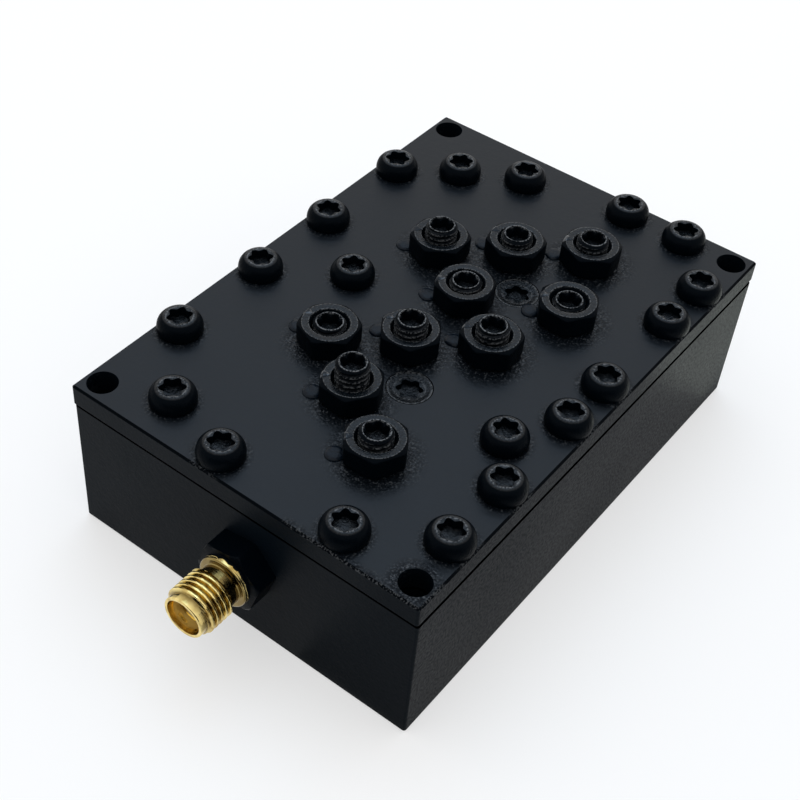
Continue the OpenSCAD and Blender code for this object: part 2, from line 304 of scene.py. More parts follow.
@dataclass(frozen=True)
class SatinPaint(Finish):
    """Sprayed satin black paint: soft orange peel, a coarser grain on upright faces, and a lit copy with a
    paler tone and a stronger sheen on level faces beside a shaded copy on upright ones, which is painted
    sheen and shade by direction.

    Grit breaks the sheen up into dark pits and pale specks. The pale specks on grit, broken edges and long
    sides are painted glints, dark matt specks on the long sides are painted shade, matt black on broken edges
    is painted shade and a matt black band just under a lid is a painted shadow.
    """

    # Level faces take the paler tone and the stronger sheen, upright faces the darker tone and the weaker
    # sheen: painted sheen and shade by direction.
    colour: Colour = (0.0022, 0.0036, 0.0056)
    side_colour: Colour = (0.0014, 0.0034, 0.0058)
    pit_colour: Colour = (0.001, 0.0018, 0.0028)
    # Pale colour of painted glints on the grit, the broken edges and the long sides.
    glint_fleck_colour: Colour = (0.05, 0.055, 0.06)
    # Pale colour of painted highlights on rims, edges and crests.
    rub_colour: Colour = (0.11, 0.115, 0.12)
    roughness: float = 0.34
    side_roughness: float = 0.46
    shade_roughness: float = 0.9
    cloud_gloss: float = 0.12
    grain_gloss: float = 0.1
    specular: float = 0.21
    side_specular: float = 0.043
    level_band: Band = (0.78, 0.96)
    slope_band: Band = (0.3, 0.5)
    long_side_band: Band = (0.7, 0.95)
    grit: float = 0.0
    sprays: tuple[DrySpray, ...] = ()
    speck_mm: float = 0.24
    glint_fleck: float = 1.0
    glint_fleck_band: Band = (0.6, 0.7)
    edge_glint_fleck: float = 0.75
    edge_glint_fleck_band: Band = (0.48, 0.6)
    pit_band: Band = (0.54, 0.44)
    rub_band: Band = (0.4, 0.58)
    side_speck_mm: float = 0.36
    side_glint_fleck: float = 0.14
    side_glint_fleck_band: Band = (0.56, 0.68)
    # Dark matt specks on the long sides: painted shade.
    side_shade_pit: float = 0.32
    side_shade_pit_band: Band = (0.52, 0.4)
    cloud_mm: float = 14.0
    peel_mm: float = 1.1
    peel: float = 0.5
    grain_mm: float = 0.34
    top_grain: float = 0.25
    side_grain: float = 0.6
    long_side_grain: float = 1.0
    spray_grain: float = 3.0
    relief_mm: float = 0.035
    # Share of matt black painted shade on broken edges, and the height above which a painted shadow covers
    # the housing.
    edge_shade: float = 0.0
    shaded_above_mm: float | None = None
    shade_fade_mm: float = 0.12

    def skin(self, shader: Shader) -> Socket:
        """Mix a lit copy of the paint on level faces with a shaded copy on upright ones, as painted sheen and
        shade, and lay matt black over both as painted shade on broken edges and a painted shadow under a lid.

        Args:
            shader: Shader of the paint.

        Returns:
            The surface shader.
        """
        place, facing = shader.place(), shader.facing()
        steepness = abs(shader.part(facing, Axis.Z))
        level = steepness.step(*self.level_band)
        upright = 1.0 - level
        slope = steepness.step(*self.slope_band) * upright
        long_side = abs(shader.part(facing, Axis.Y)).step(*self.long_side_band)
        spray = reduce(Value.most, [one.share(shader, place) for one in self.sprays], level * self.grit)
        grit = spray * level
        peel = shader.noise(place, self.peel_mm, ONE_LAYER)
        grain = shader.noise(place, self.grain_mm)
        cloud = shader.noise(place, self.cloud_mm, THREE_LAYERS)
        specks = shader.noise(place, self.speck_mm, ONE_LAYER)
        side_specks = shader.noise(place, self.side_speck_mm, ONE_LAYER)
        pit = grit * specks.step(*self.pit_band)
        # Pale specks on the long sides are painted glints.
        side_glint_fleck = side_specks.step(*self.side_glint_fleck_band) * long_side * self.side_glint_fleck
        # Pale flecks on the grit are painted glints; the grit's relief and pits are real.
        glint_fleck = (specks.step(*self.glint_fleck_band) * grit * self.glint_fleck).most(side_glint_fleck)
        # Pale specks on broken edges where grit lies are painted glints.
        edge_glint_fleck = slope * spray * specks.step(*self.edge_glint_fleck_band) * self.edge_glint_fleck
        # Where a piece's trace is set, pale marks are painted highlights on rims, edges and crests.
        rub = (shader.trace() * specks.step(*self.rub_band)).most(edge_glint_fleck)
        # Darker tone on upright faces: painted shade by direction.
        tone = shader.mix(upright, self.colour, self.side_colour)
        for share, colour in ((pit, self.pit_colour), (glint_fleck, self.glint_fleck_colour), (rub, self.rub_colour)):
            tone = shader.mix(share, tone, colour)
        grain_share = upright * (self.side_grain - self.top_grain) + grit * self.spray_grain + self.top_grain
        relief = peel * self.peel + grain * (grain_share + long_side * self.long_side_grain)
        normal = shader.bump(relief, self.relief_mm)
        uneven = (cloud - 0.5) * self.cloud_gloss + (grain - 0.5) * self.grain_gloss
        gloss = upright * (self.side_roughness - self.roughness) + uneven + self.roughness
        # A lit copy with a strong sheen for level faces, and a shaded copy with a weak sheen for upright
        # faces and grit pits: painted sheen and shade by direction.
        bright, dull_grit_and_painted_shade = (
            shader.principled(
                {"Base Color": tone, "Roughness": gloss, "Specular IOR Level": sheen, "Normal": normal})
            for sheen in (self.specular, self.side_specular))
        painted = shader.mix_surfaces(upright.most(pit), bright, dull_grit_and_painted_shade)
        if not self.edge_shade:
            return painted
        # Dark matt specks on the long sides are painted shade.
        side_shade_pit = side_specks.step(*self.side_shade_pit_band) * long_side * self.side_shade_pit
        shade = self._shade(shader, place, slope).most(side_shade_pit) * (1.0 - edge_glint_fleck)
        # Matt black that stands for shade: painted shade on broken edges and side specks, and a painted
        # shadow under the lid.
        matt = shader.principled({
            "Base Color": PAINTED_SHADE_BLACK, "Roughness": self.shade_roughness, "Specular IOR Level": 0.0,
            "Normal": normal})
        return shader.mix_surfaces(shade, painted, matt)

    def _shade(self, shader: Shader, place: Socket, slope: Value) -> Value:
        """Where matt black stands for shade: painted shade on broken edges and a painted shadow just under a
        lid.

        Args:
            shader: Shader of the paint.
            place: Object coordinates.
            slope: 1 on faces that are neither level nor upright.

        Returns:
            The share of matt black painted shade.
        """
        shade = slope * self.edge_shade
        top = self.shaded_above_mm
        if top is None:
            return shade
        return shade.most(shader.part(place, Axis.Z).step((top - self.shade_fade_mm) * MM, top * MM))


@dataclass(frozen=True)
class CloudedCoat(Finish):
    """Lacquer or a dielectric, with slow clouds in tone, gloss and relief, and wet patches above a height."""

    colour: Colour
    cloud_tone: float
    roughness: float
    specular: float
    relief_mm: float
    wet_mm: Band | None = None
    wet_band: Band = (0.48, 0.62)
    wet_roughness: float = 0.1
    cloud_mm: float = 0.8
    cloud_band: Band = (0.3, 0.7)
    cloud_gloss: float = 0.2

    def skin(self, shader: Shader) -> Socket:
        """One noise for the clouds, and a wet coat where the height and the noise both let it be.

        Args:
            shader: Shader of the coat.

        Returns:
            The surface shader.
        """
        place = shader.place()
        cloud = shader.noise(place, self.cloud_mm)
        other = tuple(self.cloud_tone * part for part in self.colour)
        sockets: Inputs = {
            "Base Color": shader.mix(cloud.step(*self.cloud_band), self.colour, other),
            "Roughness": (cloud - 0.5) * self.cloud_gloss + self.roughness,
            "Specular IOR Level": self.specular,
            "Normal": shader.bump(cloud, self.relief_mm),
        }
        if self.wet_mm is not None:
            low, high = self.wet_mm
            height = shader.part(place, Axis.Z).step(low * MM, high * MM)
            sockets["Coat Weight"] = height * cloud.step(*self.wet_band)
            sockets["Coat Roughness"] = self.wet_roughness
        return shader.principled(sockets)


@dataclass(frozen=True)
class TurnedMetal(Finish):
    """Turned metal or plating, with fine tool rings across one axis and a paint that may end on it."""

    colour: Colour
    stain_colour: Colour
    roughness: float
    ring_axis: Axis = Axis.X
    ring_mm: float = 0.09
    ring_stretch: float = 0.02
    ring_gloss: float = 0.06
    stain_mm: float = 1.6
    stain_band: Band = (0.35, 0.75)
    stain_gloss: float = 0.16
    specular: float = 0.03
    relief_mm: float = 0.006
    # Painted shade that darkens the gold in the neck and the thread's grooves.
    grime_colour: Colour = (0.15, 0.1, 0.03)
    grime: float = 0.85
    grime_mm: Band = (0.0, 0.0)
    grime_fade_mm: Band = (0.08, 0.3)
    paint: SatinPaint | None = None
    paint_edge_mm: float = 0.0
    paint_fade_mm: float = 0.06
    paint_relief: Band = (2.0, 4.0)
    jag_depth_mm: float = 0.84
    jag_mm: float = 0.9

    def skin(self, shader: Shader) -> Socket:
        """Stained metal with rings, and the paint that covers it up to a ragged edge.

        Args:
            shader: Shader of the metal.

        Returns:
            The surface shader.
        """
        place = shader.place()
        along = tuple(1.0 if axis is self.ring_axis else self.ring_stretch for axis in Axis)
        rings = shader.noise(shader.stretched(place, along), self.ring_mm, ONE_LAYER)
        stain = shader.noise(place, self.stain_mm, THREE_LAYERS)
        tone = shader.mix(stain.step(*self.stain_band), self.colour, self.stain_colour)
        gloss = (stain - 0.5) * self.stain_gloss + (rings - 0.5) * self.ring_gloss + self.roughness
        metallic: Value | float = 1.0
        height = rings
        if self.paint is not None:
            outward = abs(shader.part(place, Axis.X))
            cover = self._cover(shader, place, outward)
            # Painted shade darkens the gold in the neck and in the thread's grooves.
            tone = shader.mix(self._neck_shade(outward).most(shader.trace()) * self.grime, tone, self.grime_colour)
            tone = shader.mix(cover, tone, self.paint.side_colour)
            metallic = 1.0 - cover
            gloss = gloss * metallic + cover * self.paint.roughness
            lumps, lift = self.paint_relief
            height = rings * metallic + cover * (shader.noise(place, self.paint.grain_mm) * lumps + lift)
        return shader.principled({
            "Base Color": tone,
            "Roughness": gloss,
            "Metallic": metallic,
            "Specular IOR Level": self.specular,
            "Normal": shader.bump(height, self.relief_mm),
        })

    def _neck_shade(self, outward: Value) -> Value:
        """1 in the neck, where painted shade darkens the gold.

        Args:
            outward: Distance from the middle of the block along the port.

        Returns:
            The share of painted shade.
        """
        (first, last), (before, after) = self.grime_mm, self.grime_fade_mm
        return outward.step((first - before) * MM, first * MM) * outward.step((last + after) * MM, last * MM)

    def _cover(self, shader: Shader, place: Socket, outward: Value) -> Value:
        """1 where paint lies: nearer the block than an edge that wanders with noise.

        Args:
            shader: Shader of the metal.
            place: Object coordinates.
            outward: Distance from the middle of the block along the port.

        Returns:
            The share of paint.
        """
        edge = outward + (shader.noise(place, self.jag_mm, THREE_LAYERS) - 0.5) * (self.jag_depth_mm * MM)
        return edge.step(
            (self.paint_edge_mm + self.paint_fade_mm) * MM, (self.paint_edge_mm - self.paint_fade_mm) * MM)


@dataclass(frozen=True)
class WhiteFloor(Finish):
    """White floor that keeps the shadow near the block and fades to plain white far from it."""

    name: str = "white floor"
    albedo: float = 0.95
    roughness: float = 0.9
    glow: float = 0.5
    fade_mm: Band = (200.0, 700.0)

    def skin(self, shader: Shader) -> Socket:
        """Mix a matt white with a glow for the rays that show the background.

        Args:
            shader: Shader of the floor.

        Returns:
            The surface shader.
        """
        matt = shader.principled({
            "Base Color": (self.albedo,) * 3, "Roughness": self.roughness, "Specular IOR Level": 0.0})
        glow = shader.node("ShaderNodeEmission", {}, {"Color": WHITE, "Strength": 1.0}).outputs["Emission"]
        near, far = self.fade_mm
        away = shader.distance(shader.place(), (0.0, 0.0, 0.0)).step(near * MM, far * MM)
        return shader.mix_surfaces(shader.seen() * (away * (1.0 - self.glow) + self.glow), matt, glow)


@dataclass(frozen=True)
class CardFace(Finish):
    """Matt face of a card that stands beside the block for its reflections, with or without a glow."""

    albedo: float
    glow: float = 0.0
    tint: Colour = (0.94, 1.0, 0.95)

    def skin(self, shader: Shader) -> Socket:
        """A matt surface and its glow."""
        return shader.principled({
            "Base Color": (self.albedo,) * 3, "Roughness": 1.0, "Specular IOR Level": 0.0,
            "Emission Color": self.tint, "Emission Strength": self.glow})


# Surfaces


def full_turn(columns: int) -> Array:
    """Angles once round, without the repeated end, in radians."""
    return np.linspace(0.0, 2.0 * np.pi, columns, endpoint=False)


def arc(centre: Band, radius: float, start: float, end: float, steps: int) -> Array:
    """Points of a round stretch of a profile.

    Each point is the centre plus radius times (cos a, sin a), with a going evenly from start to end.

    Args:
        centre: Middle of the arc, as radius and height.
        radius: Its radius.
        start: First angle, in degrees.
        end: Last angle, in degrees.
        steps: Number of points.

    Returns:
        An array of (radius, height) rows.
    """
    angle = np.radians(np.linspace(start, end, steps))
    return np.array(centre) + radius * np.stack([np.cos(angle), np.sin(angle)], axis=-1)


def smooth_least(first: Array, second: Array, blend: float) -> Array:
    """The smaller of two arrays, with a rounded change from one to the other.

    The plain minimum less h squared times blend over 4, where h falls from 1 to 0 as they part by blend.

    Args:
        first: One array.
        second: The other, which may be of another shape that fits the first.
        blend: How far apart the two are when the rounding ends.

    Returns:
        The rounded minimum.
    """
    share = np.maximum(blend - np.abs(first - second), 0.0) / blend
    return np.minimum(first, second) - share * share * blend / 4.0


def hexagon_radius(angle: Array, across: float, corner_round: float) -> Array:
    """Outline of a hexagon with corners at 0, 60, ... degrees.

    Half the width across flats, over the cosine of the angle from the nearest flat's middle, with the
    corners taken in by a smooth minimum.

    Args:
        angle: Angles, in radians.
        across: Width across the flats.
        corner_round: How far the corners are taken in.

    Returns:
        The radius at each angle.
    """
    flat = across / 2.0
    sixth = np.pi / 3.0
    sharp = flat / np.cos(np.mod(angle, sixth) - sixth / 2.0)
    tip = flat / math.cos(sixth / 2.0)
    return smooth_least(sharp, np.full_like(sharp, tip - corner_round), corner_round * 4.0)


def lobe_radius(angle: Array, outer: float, waist: float, power: float = 0.85) -> Array:
    """Outline of a six-lobe recess: six waves of a cosine to a power, from the waist to the outer radius."""
    wave = (1.0 + np.cos(6.0 * angle)) / 2.0
    return outer * (waist + (1.0 - waist) * wave ** power)


def thread_radius(s: Array, angles: Array, reach: Band, pitch: float) -> Array:
    """Radius of a thread, whose section is a rounded trapezium.

    The phase s / pitch - a / 2 pi rises and falls evenly once a turn, and a smooth step makes a flat root, a
    flank and a flat crest of it.

    Args:
        s: Distances along the axis, one for each row.
        angles: Angles once round, in radians.
        reach: Radius at the root and at the crest.
        pitch: Distance from one crest to the next.

    Returns:
        The radius by row and angle.
    """
    phase = s / pitch - angles[None, :] / (2.0 * np.pi)
    rise = 1.0 - np.abs(2.0 * np.mod(phase, 1.0) - 1.0)
    share = np.clip((rise - THREAD_ROOT) / THREAD_FLANK, 0.0, 1.0)
    root, crest = reach
    return root + (crest - root) * (share * share * (3.0 - 2.0 * share))


def glint_rows(rows: int, marks: dict[int, float]) -> Array:
    """Trace of some rows, which sets painted highlights: the marks at the rows that they name, and 0
    elsewhere.

    Args:
        rows: Number of rows.
        marks: Trace by number of the row, which may count back from the end.

    Returns:
        The trace by row.
    """
    trace = np.zeros((rows, 1))
    trace[list(marks), 0] = list(marks.values())
    return trace


class Rows(NamedTuple):
    """One stretch of a turned skin: its radius, height and trace, each by row or by row and angle."""

    radii: Array
    heights: Array
    trace: Array | float = 0.0

    @classmethod
    def round(cls, profile: Array, trace: Array | float = 0.0) -> "Rows":
        """Rows of a profile that is the same all the way round."""
        return cls(profile[:, :1], profile[:, 1:], trace)

    def first(self) -> "Rows":
        """The first row again, without trace, to close a ring."""
        return Rows(self.radii[:1], self.heights[:1])


@dataclass
class Surface:
    """Points and four-sided faces of one or more closed skins, in millimetres.

    The trace, from 0 to 1 at each point, sets painted highlights on the fasteners' edges and painted shade in
    the gold thread's grooves.
    """

    points: Array
    quads: Array
    trace: Array | float = 0.0

    @classmethod
    def turned(cls, angles: Array, stretches: Sequence[Rows]) -> "Surface":
        """Skin of a turned form.

        A point is (r cos a, r sin a, h) for each row of the profile and each angle once round.

        Args:
            angles: Angles once round, in radians.
            stretches: The rows, one stretch after another.

        Returns:
            The surface, with rows that meet left for welding.
        """
        radii, heights, trace = (
            np.vstack([np.broadcast_to(rows[column], (len(rows.radii), len(angles))) for rows in stretches])
            for column in range(len(Rows._fields)))
        laid = cls.gridded(np.stack([radii * np.cos(angles), radii * np.sin(angles), heights], axis=-1))
        return cls(laid.points, laid.quads, trace.reshape(-1))

    @classmethod
    def gridded(cls, grid: Array, capped: bool = False) -> "Surface":
        """Skin of a grid whose columns go once round.

        Args:
            grid: Points by row and column.
            capped: Close both ends with a point in the middle of the first and last rows.

        Returns:
            The surface.
        """
        if capped:
            ends = [np.broadcast_to(row.mean(axis=0), (1, *row.shape)) for row in (grid[0], grid[-1])]
            grid = np.concatenate([ends[0], grid, ends[1]])
        rows, columns = grid.shape[:2]
        index = np.arange(rows * columns).reshape(rows, columns)
        beside = np.roll(index, -1, axis=1)
        quads = np.stack([index[:-1], beside[:-1], beside[1:], index[1:]], axis=-1)
        return cls(grid.reshape(-1, 3), quads.reshape(-1, 4))

    @classmethod
    def sheet(cls, x: Band, y: Band, z: float = 0.0) -> "Surface":
        """A level rectangle between two places along X and two along Y."""
        (x0, x1), (y0, y1) = x, y
        return cls(np.array([[x0, y0, z], [x1, y0, z], [x1, y1, z], [x0, y1, z]]), np.array([[0, 1, 2, 3]]))

    @classmethod
    def joined(cls, surfaces: Sequence["Surface"]) -> "Surface":
        """Several surfaces as one.

        Args:
            surfaces: The surfaces, which keep their order.

        Returns:
            All their points, faces and traces.
        """
        starts = np.cumsum([0] + [len(one.points) for one in surfaces[:-1]])
        points = np.concatenate([one.points for one in surfaces])
        quads = np.concatenate([one.quads + start for one, start in zip(surfaces, starts)])
        trace = np.concatenate([np.broadcast_to(one.trace, len(one.points)) for one in surfaces])
        return cls(points, quads, trace)

    def moved(self, matrix: Matrix) -> "Surface":
        """The surface after a rigid move."""
        turn = np.array(matrix.to_3x3())
        return Surface(self.points @ turn.T + np.array(matrix.translation), self.quads, self.trace)

    def piece(self, name: str, material: Material, sharp_deg: float = 50.0) -> bpy.types.Object:
        """Make a Blender object, welded, with faces outwards and smooth shading.

        Args:
            name: The object's name.
            material: Its finish.
            sharp_deg: Edges that turn more than this stay sharp.

        Returns:
            The object, in the scene and at the origin.
        """
        mesh = bpy.data.meshes.new(name)
        mesh.from_pydata((self.points * MM).tolist(), [], self.quads.tolist())
        trace = mesh.attributes.new(TRACE, "FLOAT", "POINT")
        trace.data.foreach_set("value", np.broadcast_to(self.trace, len(self.points)).astype(np.float32))
        work = bmesh.new()
        work.from_mesh(mesh)
        bmesh.ops.remove_doubles(work, verts=work.verts, dist=WELD_M)
        bmesh.ops.dissolve_degenerate(work, edges=work.edges, dist=SLIVER_M)
        bmesh.ops.recalc_face_normals(work, faces=work.faces)
        work.to_mesh(mesh)
        work.free()
        mesh.polygons.foreach_set("use_smooth", np.ones(len(mesh.polygons), dtype=bool))
        mesh.set_sharp_from_angle(angle=math.radians(sharp_deg))
        mesh.materials.append(material)
        made = bpy.data.objects.new(name, mesh)
        bpy.context.scene.collection.objects.link(made)
        LOG.info("%s: %d faces", name, len(mesh.polygons))
        return made


def place_at(x: float, y: float, z: float, turn: float = 0.0) -> Matrix:
    """A move that turns about Z, in radians, and then goes to a point."""
    return Matrix.Translation((x, y, z)) @ Matrix.Rotation(turn, 4, "Z")


# What the frame says


def solids_of(node: str) -> list[Array]:
    """Corner points of each separate solid in a CAD node.

    Corners at one place count as one, and each takes the lowest label among its neighbours until nothing
    changes, so that every solid ends with a label of its own.

    Args:
        node: The node's name.

    Returns:
        One array of points for each solid, in millimetres.
    """
    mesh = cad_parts[node].data
    flat = np.empty(len(mesh.vertices) * 3)
    mesh.vertices.foreach_get("co", flat)
    points, merged = np.unique(np.round(flat.reshape(-1, 3) / MM, 4), axis=0, return_inverse=True)
    ends = np.empty(len(mesh.edges) * 2, dtype=np.int64)
    mesh.edges.foreach_get("vertices", ends)
    a, b = merged.reshape(-1)[ends].reshape(-1, 2).T
    label = np.arange(len(points))
    while True:
        low = label.copy()
        np.minimum.at(low, a, label[b])
        np.minimum.at(low, b, label[a])
        low = low[low]
        if np.array_equal(low, label):
            break
        label = low
    return [points[label == one] for one in np.unique(label)]


def middle_of(points: Array) -> Array:
    """Middle of the box round some points."""
    return (points.min(axis=0) + points.max(axis=0)) / 2.0


def box_mm(node: str) -> tuple[Array, Array]:
    """Lowest and highest corner of a CAD node, in millimetres."""
    low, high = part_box(node)
    return np.array(low) / MM, np.array(high) / MM


def lid_top() -> float:
    """Height of the lid's upper face, in millimetres."""
    return box_mm("lid")[1][2]


def dress(node: str, material: Material) -> None:
    """Give a CAD node that stays in view its finish.

    Args:
        node: The node's name.
        material: Its finish.
    """
    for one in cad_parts[node].material_slots:
        one.material = material
    LOG.info("%s: dressed as %s", node, material.name)


def stand_for(piece: bpy.types.Object, node: str, body: str) -> None:
    """Let a new piece take a CAD node's place on its body.

    Args:
        piece: The new piece.
        node: The node that it stands for.
        body: The body that it rides on.
    """
    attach(piece, body)
    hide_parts(node)


# Sub-assemblies


@dataclass(frozen=True)
class SixLobeRecess:
    """Driver recess with a paint-rounded rim and a shallow conical floor.

    Each row of the bowl is a share of the outline and a share of the floor's rise.
    """

    outer: float = 1.58
    depth: float = 1.3
    mouth: float = 1.62
    lead: float = 0.03
    # Strength of the painted highlight on the rim.
    rub: float = 1.0
    waist: float = 0.76
    rim_rows: int = 3
    floor_rise: float = 0.25
    bowl: tuple[Band, ...] = ((1.0, 1.0), (0.96, 0.5), (0.6, 0.2), (0.0, 0.0))

    def rows(self, angles: Array, top: float) -> Rows:
        """Rows from just outside the rim down to the middle of the floor.

        A round mouth narrows in a shallow cone to the lobed outline, the wall goes straight down, and the
        floor narrows to a point.

        Args:
            angles: Angles once round, in radians.
            top: Height of the face that it is sunk in.

        Returns:
            The rows, with a painted highlight on the rim.
        """
        outline = lobe_radius(angles, self.outer, self.waist)[None, :]
        way = np.linspace(0.0, 1.0, self.rim_rows)[:, None]
        share, rise = np.hsplit(np.array(self.bowl), 2)
        radii = np.vstack([self.mouth + (outline - self.mouth) * way, outline * share])
        heights = np.vstack([top - self.lead * way, top - self.depth + self.floor_rise * rise])
        return Rows(radii, heights, glint_rows(len(radii), {0: self.rub}))


@dataclass
class LidScrews:
    """Pan-head screws along the lid, and the countersunk ones between the nuts.

    Each row of the sunk face is a distance in from its edge and a height.
    """

    shank_r: float = 1.5
    shank_l: float = 8.0
    tip: float = 0.3
    neck: float = 0.4
    head_r: float = 2.8
    head_h: float = 2.15
    skirt: float = 0.08
    skirt_rows: int = 5
    shoulder_h: float = 1.55
    shoulder_w: float = 1.15
    shoulder_rows: int = 12
    sunk_r: float = 2.75
    sunk_face: tuple[Band, ...] = ((0.05, -0.05), (0.12, -0.01), (0.4, -0.1), (0.8, -0.19))
    sunk_drop: float = 0.2
    sunk_recess: SixLobeRecess = SixLobeRecess(outer=1.62, depth=0.9, mouth=1.85, rub=0.35)
    # Rows and strength of the painted highlights on the heads' rims.
    sunk_glint_row: int = -3
    rub: float = 0.5
    turn_step_deg: float = 37.0
    columns: int = 72

    def _shank(self) -> Array:
        """Profile from the middle of the tip up to the underside of the head."""
        r, low = self.shank_r, -self.shank_l
        return np.array([[0.0, low], [r - self.tip, low], [r, low + self.tip], [r, -self.neck]])

    def pan_screw(self) -> Surface:
        """One pan-head screw with its head's underside at height 0.

        The head's side bulges from its skirt to its widest line and rounds over to a flat top.

        Returns:
            Its surface.
        """
        angles = full_turn(self.columns)
        widest = self.head_h - self.shoulder_h
        flank = np.linspace(0.0, 1.0, self.skirt_rows)[:, None]
        side = np.hstack([self.head_r - self.skirt * (1.0 - flank) ** 2, flank * widest])
        shoulder = arc((0.0, 0.0), 1.0, 0.0, 90.0, self.shoulder_rows)[1:]
        shoulder = shoulder * (self.shoulder_w, self.shoulder_h) + (self.head_r - self.shoulder_w, widest)
        profile = np.vstack([self._shank(), [[self.shank_r, 0.0]], side, shoulder])
        head = Rows.round(profile, glint_rows(len(profile), {-1: self.rub}))
        return Surface.turned(angles, [head, SixLobeRecess().rows(angles, self.head_h)])

    def sunk_screw(self) -> Surface:
        """One countersunk screw with its face's edge at height 0.

        A cone goes from the shank out to the edge, and the face dips a little towards the recess.

        Returns:
            Its surface.
        """
        angles = full_turn(self.columns)
        face = np.array(self.sunk_face) * (-1.0, 1.0) + (self.sunk_r, 0.0)
        profile = np.vstack([self._shank()[:-1], [[self.shank_r, self.shank_r - self.sunk_r]], face])
        head = Rows.round(profile, glint_rows(len(profile), {self.sunk_glint_row: self.rub}))
        return Surface.turned(angles, [head, self.sunk_recess.rows(angles, -self.sunk_drop)])

    def build(self, paint: Material) -> None:
        """Set a screw where each solid of the two CAD nodes is.

        Args:
            paint: Finish of the heads.
        """
        for node, one in (("lid_screws", self.pan_screw()), ("countersunk_screws", self.sunk_screw())):
            copies = []
            for number, solid in enumerate(solids_of(node)):
                x, y, _ = middle_of(solid)
                copies.append(one.moved(place_at(x, y, lid_top(), math.radians(number * self.turn_step_deg))))
            stand_for(Surface.joined(copies).piece(f"{node}_painted", paint), node, BLOCK)


@dataclass
class LockNuts:
    """Chamfered hexagon nuts.

    Each row of the lip is a distance out from the countersink's edge and a height from the top.
    """

    across: float = 7.0
    height: float = 3.0
    bore_r: float = 2.06
    sink_r: float = 2.45
    sink_depth: float = 0.7
    lip: tuple[Band, ...] = ((0.14, 0.0), (0.03, -0.03), (-0.06, -0.15))
    # Painted highlight on the lip of the countersink, by row.
    lip_glint: float = 0.8
    lip_glint_row: int = 2
    chamfer_in: float = 0.2
    chamfer_deg: float = 30.0
    chamfer_round: float = 0.16
    corner_round: float = 0.12
    edge_in: float = 0.12
    # Painted highlight on the nut's top edge.
    edge_glint: float = 0.7
    bend_h: float = 0.55
    bend_power: float = 1.5
    bend_rows: int = 9
    flat_from: float = 0.6
    flat_rows: int = 5
    columns: int = 96
    sharp_deg: float = 35.0

    @property
    def top_r(self) -> float:
        """Radius of the round top face."""
        return self.across / 2.0 - self.chamfer_in

    def side(self, z: Array, angles: Array) -> Array:
        """Radius of the side: a smooth minimum of the hexagon and a cone that narrows towards both faces.

        Args:
            z: Heights, one for each row.
            angles: Angles from a corner, in radians, for each column or each row and column.

        Returns:
            The radius by row and angle.
        """
        slope = math.tan(math.radians(self.chamfer_deg))
        cone = self.top_r + np.minimum(z, self.height - z) / slope
        return smooth_least(hexagon_radius(angles, self.across, self.corner_round), cone, self.chamfer_round)

    def nut(self) -> Surface:
        """One nut that stands on height 0.

        The rows go up the side, in over the top, down the countersunk bore and out under the nut.

        Returns:
            Its surface, a closed ring.
        """
        angles = full_turn(self.columns)
        bend = np.linspace(0.0, 1.0, self.bend_rows) ** self.bend_power * self.bend_h
        flat = np.linspace(self.flat_from, self.height - self.flat_from, self.flat_rows)
        z = np.concatenate([bend, flat, self.height - bend[::-1]])[:, None]
        side = Rows(self.side(z, angles[None, :]), z, glint_rows(len(z), {-1: self.edge_glint}))
        sink = self.height - self.sink_depth
        inner = np.vstack([
            [[self.top_r - self.edge_in, self.height]],
            np.array(self.lip) + (self.sink_r, self.height),
            [[self.bore_r, sink], [self.bore_r, self.sink_depth], [self.sink_r, 0.0]]])
        bore = Rows.round(inner, glint_rows(len(inner), {self.lip_glint_row: self.lip_glint}))
        return Surface.turned(angles, [side, bore, side.first()])

    def places(self) -> list[Triple]:
        """Middle and turn of each nut in the CAD.

        Returns:
            X, Y and the angle of one corner, in radians, for each nut.
        """
        found = []
        for solid in solids_of("lock_nuts"):
            middle = middle_of(solid)
            offset = solid[:, :2] - middle[:2]
            corner = offset[np.argmax(np.hypot(offset[:, 0], offset[:, 1]))]
            found.append((float(middle[0]), float(middle[1]), math.atan2(corner[1], corner[0])))
        return found

    def build(self, paint: Material) -> None:
        """Set a nut where the CAD has one, turned as it is there.

        Args:
            paint: Finish of the nuts.
        """
        one = self.nut()
        nuts = Surface.joined([one.moved(place_at(x, y, lid_top(), turn)) for x, y, turn in self.places()])
        piece = nuts.piece("lock_nuts_painted", paint, self.sharp_deg)
        stand_for(piece, "lock_nuts", BLOCK)


